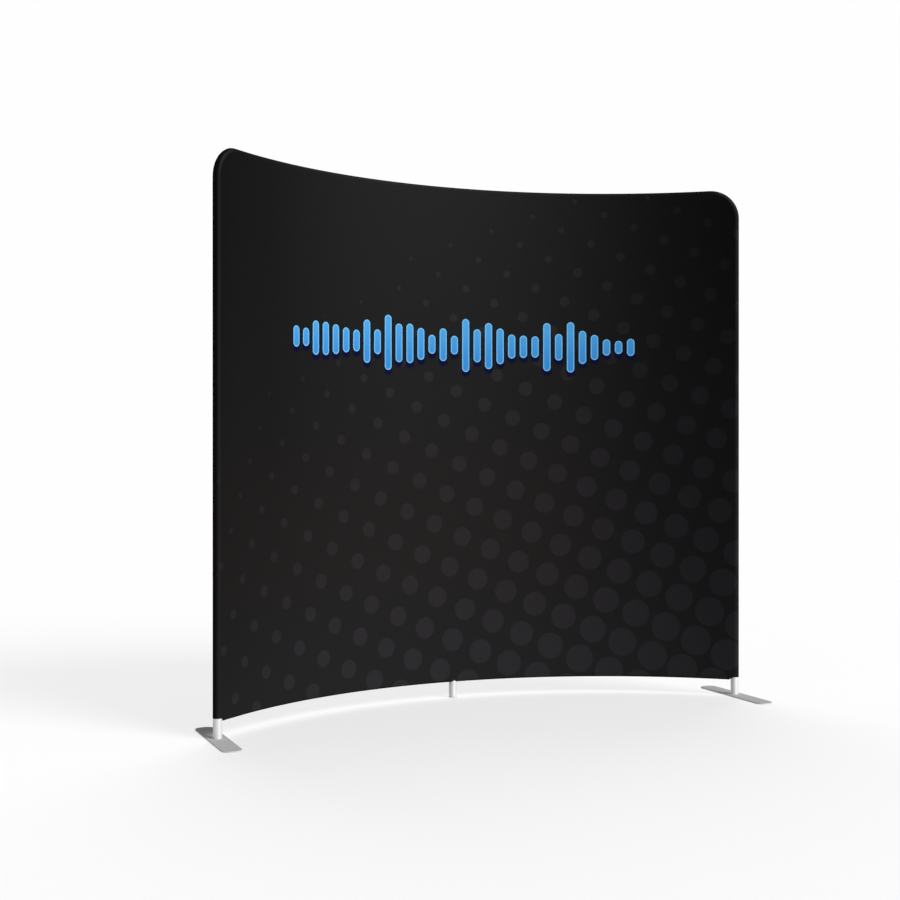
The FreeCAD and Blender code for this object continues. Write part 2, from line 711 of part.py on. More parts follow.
def grouped_pieces():
    """Small identical pieces that share one node."""
    right_springs = [placed(snap_spring(), frame) for frame in right_sites.values()]
    springs = [placed(snap_spring(), frame) for frame in centre_sites.values()]
    springs += right_springs + [mirrored(spring) for spring in right_springs]
    right_rivets = [placed(rivet(), rivet_sites[name]) for name in ("post", "corner")]
    rivets = [placed(rivet(), rivet_sites["centre_post"])]
    rivets += right_rivets + [mirrored(piece) for piece in right_rivets]
    return {
        "snap_springs": Part.makeCompound(springs),
        "spigot_rivets": Part.makeCompound(rivets),
    }


def main():
    nodes = {}
    for name, shape in side_pieces().items():
        nodes["right_" + name] = shape
        nodes["left_" + name] = mirrored(shape)
    nodes.update(middle_pieces())
    nodes.update(grouped_pieces())
    os.makedirs("parts", exist_ok=True)
    for name, shape in nodes.items():
        shape.exportStep("parts/" + name + ".step")
    box = Part.makeCompound(list(nodes.values())).BoundBox
    print(len(nodes), "nodes, box", box)


main()
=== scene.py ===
import bmesh
import bpy
import json
import math
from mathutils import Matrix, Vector, noise


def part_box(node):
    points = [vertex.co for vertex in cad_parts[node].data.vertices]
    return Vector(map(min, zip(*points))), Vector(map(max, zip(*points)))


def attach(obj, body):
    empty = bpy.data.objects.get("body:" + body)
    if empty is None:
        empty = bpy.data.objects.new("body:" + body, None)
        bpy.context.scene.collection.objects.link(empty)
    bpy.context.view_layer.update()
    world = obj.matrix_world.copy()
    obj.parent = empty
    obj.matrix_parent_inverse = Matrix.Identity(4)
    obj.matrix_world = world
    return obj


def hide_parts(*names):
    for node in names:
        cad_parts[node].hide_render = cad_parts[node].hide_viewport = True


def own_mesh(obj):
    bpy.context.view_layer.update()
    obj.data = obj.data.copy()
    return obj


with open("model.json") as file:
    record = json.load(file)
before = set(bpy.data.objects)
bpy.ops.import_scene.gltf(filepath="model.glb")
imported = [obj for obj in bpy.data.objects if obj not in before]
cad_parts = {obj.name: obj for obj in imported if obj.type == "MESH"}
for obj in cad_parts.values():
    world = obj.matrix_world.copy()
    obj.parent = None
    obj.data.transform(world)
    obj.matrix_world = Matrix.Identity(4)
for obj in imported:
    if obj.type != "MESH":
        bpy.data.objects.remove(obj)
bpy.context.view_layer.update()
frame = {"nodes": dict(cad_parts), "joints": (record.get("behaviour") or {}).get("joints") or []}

scene = bpy.context.scene
scene.view_settings.view_transform = "Standard"

# Sizes in metres, the same as in the CAD source, and what follows from them
HEIGHT = 2.2955
POST_SPACING = 2.388
BOW = 0.467
CORNER = 0.113
SKIRT = 0.0705
COVER = 0.0183
CLOTH = 0.0005
HEM = 0.010
LEG_HOLE = 0.0179
LEG_RISE = 0.0060
FOOT_FRONT = 0.2455
ZIP_RISE = 0.065
ZIP_TAPE = 0.014
ZIP_INNER_GAP = 0.046
ZIP_OUTER_GAP = 0.030
CHAIN = 0.004
CHAIN_THICKNESS = 0.0016
STOP = 0.003
SLIDER_PARK = 0.011

TOP = HEIGHT - COVER
BEND = TOP - CORNER
HEM_Z = SKIRT + HEM
HEM_CENTRE = COVER - HEM
HALF = POST_SPACING / 2
RADIUS = (HALF ** 2 + BOW ** 2 - CORNER ** 2) / (2 * BOW)
END = math.atan2(HALF, RADIUS - BOW) - math.atan2(CORNER, RADIUS)
APEX_Y = (COVER + BOW + FOOT_FRONT) / 2 - COVER
ARC_Y = APEX_Y - RADIUS
EDGE = RADIUS * END + CORNER
QUARTER = math.pi / 2
UP = Vector((0, 0, 1))
ARCH_Z = HEM_Z - math.sqrt(HEM ** 2 - (LEG_HOLE - HEM_CENTRE) ** 2)
ZIP_Z = SKIRT + ZIP_RISE
ZIP_RADIUS = RADIUS + COVER - CLOTH / 2
ZIP_FIRST = ZIP_INNER_GAP / ZIP_RADIUS
ZIP_LAST = END - ZIP_OUTER_GAP / ZIP_RADIUS


# The wall's own coordinates: s along it from the middle, out towards the hollow front, and z up
def turn_at(s):
    return max(-END, min(END, s / RADIUS))


def along(s):
    a = turn_at(s)
    return Vector((math.cos(a), -math.sin(a), 0))


def front(s):
    a = turn_at(s)
    return Vector((-math.sin(a), -math.cos(a), 0))


def wall(s, out, z):
    a = turn_at(s)
    base = Vector((RADIUS * math.sin(a), ARC_Y + RADIUS * math.cos(a), z))
    return base + along(s) * (s - RADIUS * a) + front(s) * out


# Mesh helpers; the cloth's own flat coordinates are kept in a map of this name
CLOTH_MAP = "cloth"


def mesh_object(name, points, faces, material, smooth=True):
    data = bpy.data.meshes.new(name)
    data.from_pydata(points, [], faces)
    data.materials.append(material)
    data.polygons.foreach_set("use_smooth", [smooth] * len(data.polygons))
    data.update()
    piece = bpy.data.objects.new(name, data)
    scene.collection.objects.link(piece)
    return piece


def closed_sheet(name, outer, inner, faces, flat_places, material):
    """Sheet with two faces and closed edges; flat_places are the cloth's own flat coordinates."""
    edges = [edge for face in faces for edge in zip(face, face[1:] + face[:1])]
    shared = set(edges)
    count = len(outer)
    rims = [(b, a, a + count, b + count) for a, b in edges if (b, a) not in shared]
    backs = [tuple(i + count for i in reversed(face)) for face in faces]
    piece = mesh_object(name, outer + inner, [tuple(f) for f in faces] + backs + rims, material)
    borders = {key for polygon in piece.data.polygons[2 * len(faces):] for key in polygon.edge_keys}
    for edge in piece.data.edges:
        edge.use_edge_sharp = edge.key in borders
    layer = piece.data.uv_layers.new(name=CLOTH_MAP)
    flat = flat_places + flat_places
    for loop in piece.data.loops:
        layer.data[loop.index].uv = flat[loop.vertex_index]
    return piece


def tube_along(name, path, radii, sides, material, closed=False):
    """Round strand along a path of points, with one radius for each point."""
    points, faces = [], []
    last = len(path) - 1
    for i, centre in enumerate(path):
        before = path[i - 1] if i or closed else path[0]
        after = path[(i + 1) % len(path)] if i < last or closed else path[last]
        way = (after - before).normalized()
        side = way.cross(UP if abs(way.z) < 0.9 else Vector((1, 0, 0))).normalized()
        other = side.cross(way)
        for k in range(sides):
            a = 2 * math.pi * k / sides
            points.append(centre + (side * math.cos(a) + other * math.sin(a)) * radii[i])
    for i in range(len(path) if closed else last):
        for k in range(sides):
            a, b = i * sides + k, i * sides + (k + 1) % sides
            c = (i + 1) % len(path) * sides
            faces.append((a, b, c + (k + 1) % sides, c + k))
    if not closed:
        faces.append(tuple(reversed(range(sides))))
        faces.append(tuple(range(last * sides, last * sides + sides)))
    return mesh_object(name, points, faces, material)


# Node helpers: a Field is a number that varies over a surface
def wire(tree, node, inputs):
    """Fill a node's sockets, by name or number, from Fields, other sockets or plain values."""
    for key, value in inputs.items():
        source = value.socket if isinstance(value, Field) else value
        if isinstance(source, bpy.types.NodeSocket):
            tree.links.new(source, node.inputs[key])
        else:
            node.inputs[key].default_value = source
    return node


def new_node(tree, kind, inputs):
    return wire(tree, tree.nodes.new(kind), inputs)


class Field:
    def __init__(self, tree, socket):
        self.tree = tree
        self.socket = socket

    def op(self, kind, *others):
        node = self.tree.nodes.new("ShaderNodeMath")
        node.operation = kind
        wire(self.tree, node, dict(enumerate((self,) + others)))
        return Field(self.tree, node.outputs[0])

    def __add__(self, other):
        return self.op("ADD", other)

    def __sub__(self, other):
        return self.op("SUBTRACT", other)

    def __mul__(self, other):
        return self.op("MULTIPLY", other)

    def __truediv__(self, other):
        return self.op("DIVIDE", other)

    __radd__ = __add__

    def rounded(self):
        return self.op("ROUND")

    def absolute(self):
        return self.op("ABSOLUTE")

    def sine(self):
        return self.op("SINE")

    def root(self):
        return self.op("SQRT")

    def exponential(self):
        return self.op("EXPONENT")

    def least(self, other):
        return self.op("MINIMUM", other)

    def most(self, other):
        return self.op("MAXIMUM", other)

    def step(self, start, end):
        """Rises smoothly from 0 at start to 1 at end; start may be the larger."""
        node = self.tree.nodes.new("ShaderNodeMapRange")
        node.interpolation_type = "SMOOTHSTEP"
        wire(self.tree, node, {"Value": self, "From Min": start, "From Max": end})
        return Field(self.tree, node.outputs["Result"])


# A Mix node's colour sockets, by number because their names repeat
MIX_FIRST, MIX_SECOND, MIX_RESULT = 6, 7, 2


class Finish:
    """A procedural material under construction."""

    def __init__(self, name, metallic=0.0, specular=0.5):
        self.material = bpy.data.materials.new(name)
        self.material.use_nodes = True
        self.tree = self.material.node_tree
        self.shader = self.tree.nodes["Principled BSDF"]
        self.shader.inputs["Metallic"].default_value = metallic
        self.shader.inputs["Specular IOR Level"].default_value = specular

    def link(self, source, name):
        wire(self.tree, self.shader, {name: source})

    def parts(self, vector):
        """The three parts of a vector socket as Fields."""
        split = new_node(self.tree, "ShaderNodeSeparateXYZ", {0: vector})
        return [Field(self.tree, output) for output in split.outputs]

    def place(self):
        """The piece's own X, Y and Z as Fields."""
        return self.parts(self.tree.nodes.new("ShaderNodeTexCoord").outputs["Object"])

    def cloth_place(self):
        """The cloth's own flat coordinates as Fields."""
        node = self.tree.nodes.new("ShaderNodeUVMap")
        node.uv_map = CLOTH_MAP
        return self.parts(node.outputs["UV"])[:2]

    def facing_up(self):
        """How far the surface faces up, as a Field: 1 on a level top and 0 on an upright side."""
        return self.parts(self.tree.nodes.new("ShaderNodeNewGeometry").outputs["Normal"])[2]

    def noise(self, x, y, z, detail=3.0, rough=0.5):
        """Smooth noise from 0 to 1, which changes over about one unit of the place given."""
        join = new_node(self.tree, "ShaderNodeCombineXYZ", {0: x, 1: y, 2: z})
        node = new_node(self.tree, "ShaderNodeTexNoise", {
            "Vector": join.outputs[0], "Scale": 1.0, "Detail": detail, "Roughness": rough})
        return Field(self.tree, node.outputs["Fac"])

    def blend(self, factor, first, second):
        """Mix two colours, each given as three numbers or as the result of another blend."""
        first, second = [colour if isinstance(colour, bpy.types.NodeSocket) else (*colour, 1.0)
                         for colour in (first, second)]
        node = self.tree.nodes.new("ShaderNodeMix")
        node.data_type = "RGBA"
        node.clamp_factor = False
        wire(self.tree, node, {"Factor": factor, MIX_FIRST: first, MIX_SECOND: second})
        return node.outputs[MIX_RESULT]

    def bump(self, height, strength, distance):
        node = new_node(self.tree, "ShaderNodeBump", {
            "Strength": strength, "Distance": distance, "Height": height})
        self.link(node.outputs[0], "Normal")


# Materials of the frame
def drawn_metal(name, dark, pale, metallic, roughness, grain, specular=0.5):
    """Metal with fine lines along its length; grain is how fast they change along X, Y and Z."""
    finish = Finish(name, metallic, specular)
    x, y, z = finish.place()
    lines = finish.noise(x * grain[0], y * grain[1], z * grain[2], 4.0, 0.6)
    clouds = finish.noise(x * 9.0, y * 9.0, z * 9.0, 3.0)
    finish.link(finish.blend(lines * 0.6 + clouds * 0.4, dark, pale), "Base Color")
    finish.link(lines * 0.16 + clouds * 0.10 + (roughness - 0.13), "Roughness")
    finish.bump(lines, 0.18, 0.00015)
    return finish.material


def powder_coat(finish, dark, pale, roughness, grain):
    """A fine orange peel, with faint clouding: sets roughness and bump, and returns the colour."""
    x, y, z = finish.place()
    peel = finish.noise(x * grain, y * grain, z * grain, 2.0)
    clouds = finish.noise(x * 14.0, y * 5.0, z * 14.0, 4.0)
    finish.link(clouds * 0.14 + (roughness - 0.07), "Roughness")
    finish.bump(peel, 0.12, 0.0003)
    return finish.blend(clouds * 0.75 + peel * 0.25, dark, pale)


def coated_metal(name, dark, pale, roughness, grain, metallic):
    """Metal whose skin has an orange peel."""
    finish = Finish(name, metallic)
    finish.link(powder_coat(finish, dark, pale, roughness, grain), "Base Color")
    return finish.material


def plate_metal():
    """Grey powder coat, with painted light making its upright sides pale."""
    finish = Finish("foot_plate", 0.0, 0.01)
    coat = powder_coat(finish, (0.405, 0.397, 0.397), (0.505, 0.497, 0.497), 0.60, 700.0)
    # Painted light: the upright sides are made pale, as if lit
    upright = finish.facing_up().step(0.75, 0.25)
    finish.link(finish.blend(upright, coat, (0.72, 0.72, 0.72)), "Base Color")
    return finish.material


def moulded_plastic(name, dark, pale, roughness):
    """Plastic with a fine matt grain and faint clouding."""
    finish = Finish(name)
    x, y, z = finish.place()
    grain = finish.noise(x * 900.0, y * 900.0, z * 900.0, 2.0)
    clouds = finish.noise(x * 40.0, y * 40.0, z * 40.0, 3.0)
    finish.link(finish.blend(clouds, dark, pale), "Base Color")
    finish.link(grain * 0.2 + (roughness - 0.1), "Roughness")
    finish.bump(grain, 0.15, 0.0002)
    return finish.material


# Printed face of the cover: s and z are metres on the cloth laid flat
DOT_START = (0.02375, 1.05150)
DOT_FIRST = (0.13760, -0.05998)
DOT_SECOND = (-0.06175, -0.13386)
DOT_BLUR = 0.0014


def dot_pattern(s, z):
    """Halftone dots on a slanted lattice, growing towards the lower right; 1 inside a dot."""
    (ax, az), (bx, bz) = DOT_FIRST, DOT_SECOND
    area = ax * bz - az * bx
    x, y = s - DOT_START[0], z - DOT_START[1]
    column = (x * (bz / area) - y * (bx / area)).rounded()
    row = (y * (ax / area) - x * (az / area)).rounded()
    cx = column * ax + row * bx + DOT_START[0]
    cz = column * az + row * bz + DOT_START[1]
    # The diameter is a cubic of the dot's place
    size = 0.10968 + cx * 0.04152 - cz * 0.02946
    size = size - cx * cx * 0.00752 - cx * cz * 0.01058 - cz * cz * 0.00552
    size = size - cx * cx * (cx * 0.00059 + cz * 0.00108) + cz * cz * (cx * 0.00346 - cz * 0.00092)
    across, upward = s - cx, z - cz
    distance = (across * across + upward * upward).root()
    radius = size * 0.5
    # The smallest dots fade out
    return distance.step(radius + DOT_BLUR, radius - DOT_BLUR) * size.step(0.010, 0.016)


BAR_PITCH = 0.0560
BAR_HALF_WIDTH = 0.0175
BAR_LEAST = 0.024
BAR_SWING = 0.085
BARS_END = 0.868
BARS_TAPER = 0.34
BARS_Z = 1.5855
SHADOW_DROP = 0.018
SHADOW_GROWTH = 0.002


def sound_bars(s, z, drop, grow):
    """A row of upright rounded bars with varied heights; the distance from their outline."""
    column = (s / BAR_PITCH).rounded()
    wave = (column * 1.37).sine() * (column * 0.41 + 0.8).sine()
    height = wave.absolute() * BAR_SWING + BAR_LEAST
    reach = (column * BAR_PITCH).absolute().step(BARS_END + 0.02, BARS_END - BARS_TAPER)
    height = height * (reach * 0.75 + 0.25)
    across = (s - column * BAR_PITCH).absolute()
    upward = ((z - (BARS_Z - drop)).absolute() - height).most(0.0)
    distance = (across * across + upward * upward).root() - (BAR_HALF_WIDTH + grow)
    outside = (s.absolute() - BARS_END).most(0.0) * 4.0
    return distance + outside


LOOP_WIDTH = 0.0012
LOOP_HEIGHT = 0.0009
PUCKER_SIDE, PUCKER_HEM, PUCKER_TOP = 0.055, 0.050, 0.045


def loops(s, z):
    """Rows of loops of a stretch knit, from -1 to 1."""
    return (s * (2 * math.pi / LOOP_WIDTH)).sine() * (z * (2 * math.pi / LOOP_HEIGHT)).sine()


def knit(finish, s, z):
    """Height of the knit, with small puckers along the seams and hems."""
    yarn = finish.noise(s * 700.0, z * 500.0, 0.0, 2.0)
    near_side = (s.absolute() - EDGE).absolute().step(PUCKER_SIDE, 0.0)
    near_hem = (z - HEM_Z).absolute().step(PUCKER_HEM, 0.0)
    near_top = (z - TOP).absolute().step(PUCKER_TOP, 0.0)
    pucker = finish.noise(s * 16.0, z * 55.0, 3.0, 2.0) * near_side
    pucker = pucker + finish.noise(s * 55.0, z * 16.0, 7.0, 2.0) * near_hem.most(near_top)
    return loops(s, z) * 0.10 + yarn * 0.12 + pucker * 2.2


def painted_sheen_level(s, z):
    """Painted light and shade on the black ground: a soft grey sheen, strongest in the middle and
    weakest in the upper corners.
    """
    # Painted light and shade: a smooth curve in s and height standing in for how the lamps fall
    # across the curved face
    up = z - 1.15
    level = s * s * -0.3979 + s * -0.0636 + up * 0.0285 + s * up * -0.0274
    level = level + up * up * 0.1165 + s * s * up * -0.2926
    # Painted light added along both ends
    ends = s.absolute().step(0.95, 1.28) * z.step(0.1, 1.5)
    return (level + ends * 0.20).exponential()


def past_bend(s, z):
    """How far a place is past the start of the rounded corners, sideways and upwards."""
    return (s.absolute() - (EDGE - CORNER)).most(0.0), (z - BEND).most(0.0)


def beyond_rim(s, z):
    """How far a place is past the rim of the flat face, round the frame tube towards the seam."""
    sideways, upwards = past_bend(s, z)
    return (sideways * sideways + upwards * upwards).root() - CORNER


def painted_rim_light(s, z, level):
    """The sheen level, with a painted highlight where the cloth turns over the side posts.

    The right post gets a painted highlight all round, and the left one a painted highlight line and
    painted shade towards the seam; the highlight is brighter over the top of the corners.
    """
    beyond = beyond_rim(s, z)
    sideways, upwards = past_bend(s, z)
    side = (sideways / CORNER).least(1.0)
    hand = s.step(-0.2, 0.2)
    # Painted highlight: a pale band on each rim where the cloth turns over the post
    left = beyond.step(0.0005, 0.0090) * beyond.step(0.0175, 0.0105)
    right = beyond.step(0.001, 0.014)
    pale = (left + (right - left) * hand) * side
    # The painted highlight is brighter over the top of the corners
    highlight_level = (upwards / CORNER).least(1.0) * 0.8 + 1.0
    # Painted shade over the left seam, on the side of the cloth turned away from the key lamp
    seam = beyond.step(0.012, 0.026) * (hand * -1.0 + 1.0) * side
    return (level + (highlight_level - level) * pale) * (seam * -0.48 + 1.0)


FINE_GRAIN = 420.0
BLACK = (0.0, 0.0, 0.0)


def printed_fabric():
    """Front cloth: black ground with a painted sheen of light and shade, halftone dots and a row of
    blue bars.
    """
    finish = Finish("printed_fabric", 0.0, 0.0)
    s, z = finish.cloth_place()
    grain = finish.noise(s * FINE_GRAIN, z * FINE_GRAIN, 1.0, 2.0)
    weave = grain * 0.16 + loops(s, z) * 0.20 + 0.92
    # Painted light and shade: a soft sheen over the face, with painted highlights and painted shade
    # on the rims
    glow = painted_rim_light(s, z, painted_sheen_level(s, z)) * weave
    warm = z.step(0.30, 0.60) * z.step(1.50, 0.90) * s.step(1.0, 0.5)
    ground = finish.blend(warm, (0.0164, 0.0164, 0.0164), (0.0180, 0.0166, 0.0161))
    cool = s.step(0.5, 1.1).most(z.step(0.45, 0.15))
    dots = finish.blend(cool, (0.0259, 0.0230, 0.0250), (0.0240, 0.0232, 0.0260))
    print_and_painted_light = finish.blend(dot_pattern(s, z), ground, dots)
    print_and_painted_light = finish.blend(glow, BLACK, print_and_painted_light)
    shadow = sound_bars(s, z, SHADOW_DROP, SHADOW_GROWTH).step(0.008, -0.004)
    print_and_painted_light = finish.blend(shadow * 0.9, print_and_painted_light, (0.0045, 0.0060, 0.0360))
    bars = sound_bars(s, z, 0.0, 0.0)
    rise = (z - BARS_Z).step(-0.10, 0.10)
    blue = finish.blend(rise, (0.046, 0.270, 0.700), (0.080, 0.385, 0.800))
    blue = finish.blend(bars.step(-0.0060, -0.0030), blue, (0.200, 0.560, 0.900))
    print_and_painted_light = finish.blend(bars.step(0.0008, -0.0008), print_and_painted_light, blue)
    finish.link(print_and_painted_light, "Base Color")
    finish.link(grain * 0.10 + 0.52, "Roughness")
    finish.bump(knit(finish, s, z), 0.30, 0.0002)
    return finish.material


def plain_fabric():
    """Back cloth: the same knit dyed black, with painted shade darkening it towards the seam."""
    finish = Finish("plain_fabric", 0.0, 0.0)
    s, z = finish.cloth_place()
    grain = finish.noise(s * FINE_GRAIN, z * FINE_GRAIN, 1.0, 2.0)
    clouds = finish.noise(s * 2.2, z * 1.4, 4.0, 3.0)
    yarn = grain * 0.3 + clouds * 0.7 + loops(s, z) * 0.35
    surface_colour = finish.blend(yarn, (0.0135, 0.0135, 0.0140), (0.0225, 0.0223, 0.0230))
    # Painted shade: the cloth darkens to black over the last of the wrap towards the seam
    surface_colour = finish.blend(beyond_rim(s, z).step(-0.004, 0.012) * 0.70, surface_colour, BLACK)
    finish.link(surface_colour, "Base Color")
    finish.link(grain * 0.10 + 0.56, "Roughness")
    finish.bump(knit(finish, s, z), 0.30, 0.0002)
    return finish.material


def thread_material():
    """Twisted black sewing thread."""
    finish = Finish("seam_thread", 0.0, 0.0)
    x, y, z = finish.place()
    twist = finish.noise(x * 900.0, y * 900.0, z * 900.0, 2.0)
    surface_colour = finish.blend(twist, (0.0040, 0.0040, 0.0042), (0.0120, 0.0120, 0.0125))
    finish.link(surface_colour, "Base Color")
    finish.link(twist * 0.2 + 0.55, "Roughness")
    finish.bump(twist, 0.4, 0.0002)
    return finish.material


def tape_material():
    """Herringbone tape."""
    finish = Finish("zip_tape", 0.0, 0.15)
    s, z = finish.cloth_place()
    slant = ((s * 1500.0).sine() * 0.6 + z * 2600.0).sine()
    grain = finish.noise(s * 800.0, z * 800.0, 2.0, 2.0)
    yarn = slant * 0.25 + grain * 0.5 + 0.1
    surface_colour = finish.blend(yarn, (0.0060, 0.0060, 0.0062), (0.0190, 0.0190, 0.0195))
    finish.link(surface_colour, "Base Color")
    finish.link(grain * 0.15 + 0.60, "Roughness")
    finish.bump(slant * 0.4 + grain, 0.35, 0.0002)
    return finish.material


# For each metal: dark and pale colour, metallic, roughness, and its grain along X, Y and Z
ALUMINIUM = drawn_metal("frame_tube", (0.700, 0.699, 0.698), (0.820, 0.818, 0.816),
                        0.20, 0.44, (420.0, 420.0, 3.0), specular=0.08)
SPIGOT = drawn_metal("foot_spigot", (0.50, 0.50, 0.51), (0.64, 0.64, 0.65),
                     0.85, 0.34, (90.0, 90.0, 900.0))
SCREW = drawn_metal("screw_steel", (0.42, 0.42, 0.43), (0.58, 0.58, 0.60),
                    0.85, 0.36, (160.0, 160.0, 160.0))
BUTTON = drawn_metal("snap_button", (0.55, 0.55, 0.56), (0.70, 0.70, 0.71),
                     0.9, 0.30, (300.0, 300.0, 300.0))
SPRING = drawn_metal("spring_steel", (0.36, 0.36, 0.38), (0.52, 0.52, 0.54),
                     0.9, 0.34, (200.0, 200.0, 60.0))
RIVET = drawn_metal("rivet", (0.55, 0.55, 0.56), (0.68, 0.68, 0.69),
                    0.8, 0.38, (250.0, 250.0, 250.0))
# For each coat: dark and pale colour, roughness, grain and metallic
CAST_ALUMINIUM = coated_metal("plug_aluminium", (0.50, 0.50, 0.51), (0.66, 0.66, 0.67),
                              0.48, 500.0, 0.6)
ZIP_METAL = coated_metal("zip_metal", (0.050, 0.050, 0.052), (0.085, 0.085, 0.088),
                         0.34, 900.0, 0.85)
PLATE = plate_metal()
GLIDE = moulded_plastic("glide", (0.72, 0.72, 0.72), (0.80, 0.80, 0.80), 0.55)
ZIP_TEETH = moulded_plastic("zip_teeth", (0.0085, 0.0085, 0.0090), (0.0160, 0.0160, 0.0165), 0.40)
PRINT = printed_fabric()
PLAIN = plain_fabric()
THREAD = thread_material()
TAPE = tape_material()

# A node takes the first finish whose words are in its name
FINISHES = (
    ("foot_plate", PLATE), ("foot_spigot", SPIGOT), ("foot_screw", SCREW), ("glide", GLIDE),
    ("springs", SPRING), ("rivets", RIVET), ("button", BUTTON), ("zip_tapes", TAPE),
    ("zip_chain", ZIP_TEETH), ("zip_", ZIP_METAL), ("spigot", CAST_ALUMINIUM),
    ("stub", CAST_ALUMINIUM), ("tee", CAST_ALUMINIUM), ("front_panel", PRINT),
    ("back_panel", PLAIN), ("", ALUMINIUM),
)
for name, node in frame["nodes"].items():
    finish = next(material for part, material in FINISHES if part in name)
    node.data.materials.clear()
    node.data.materials.append(finish)


# Fabric panels
CORNER_STEPS = 18
WRAP_STEPS = 8
HEM_STEPS = 8
GRID = 0.022
# How far from a side post the lower edge is cut higher, in radii of the leg hole
LEG_EASE = 1.25
# How far the print runs on round the hem
HEM_PRINT = 0.024
# The most that the cloth's ease moves it, and how far from the edges it has faded out
EASE = 0.0010
EASE_RIM = 0.25
EASE_HEM = 0.20


def hem_profile(end, share, depth):
    """Point (out, z) on the rounded lower edge, at a depth in the cloth.

    It is a share of the way from the face to where out is end.
    """
    reach = max(-1.0, min(1.0, (end - HEM_CENTRE) / HEM))
    last = math.acos(reach) if end > HEM_CENTRE else QUARTER
    flat = max(0.0, HEM_CENTRE - end)
    run = share * (HEM * last + flat)
    angle = min(last, run / HEM)
    under = max(0.0, run - HEM * last)
    radius = HEM - depth
    return HEM_CENTRE + radius * math.cos(angle) - under, HEM_Z - radius * math.sin(angle)


def spread(first, last, step):
    """Evenly spread numbers from first to last, at most a step apart."""
    count = max(1, math.ceil((last - first) / step - 1e-6))
    return [first + (last - first) * i / count for i in range(count + 1)]


def leg_rise(s):
    """How much higher the lower edge is cut where a side post passes it."""
    gap = (EDGE - abs(s)) / LEG_HOLE
    return LEG_RISE * max(0.0, min(1.0, (LEG_EASE - gap) / (LEG_EASE - 1.0)))


def leg_end(s):
    """How far out from the frame's middle surface the lower edge stops, where a leg passes it."""
    for middle in (-EDGE, 0.0, EDGE):
        gap = abs(s - middle)
        if gap < LEG_HOLE:
            return math.sqrt(LEG_HOLE ** 2 - gap ** 2)
    return 0.0


def panel_lines(windows):
    """Column and row positions: fine at the legs and corners, and on the edges of any windows."""
    turns = [QUARTER * k / CORNER_STEPS for k in range(CORNER_STEPS + 1)]
    corner_s = [EDGE - CORNER + CORNER * math.cos(a) for a in turns]
    corner_z = [BEND + CORNER * math.sin(a) for a in turns]
    fixed = {0.0, EDGE - CORNER}
    leg = [LEG_HOLE * math.sin(math.radians(a)) for a in (0, 15, 30, 45, 60, 75, 90)]
    fixed.update(leg)
    fixed.update(EDGE - x for x in leg + [LEG_HOLE * LEG_EASE])
    fixed.update(corner_s)
    for first, last, low, high in windows:
        fixed.update((first, last))
    fixed = sorted({round(x, 7) for x in fixed})
    right = []
    for a, b in zip(fixed, fixed[1:]):
        right += spread(a, b, GRID)[:-1]
    right.append(EDGE)
    columns = sorted({-x for x in right} | set(right))
    levels = {HEM_Z, BEND}
    for first, last, low, high in windows:
        levels.update((low, high))
    levels = sorted(levels)
    rows = []
    for a, b in zip(levels, levels[1:]):
        rows += spread(a, b, GRID)[:-1]
    rows += corner_z
    return columns, rows


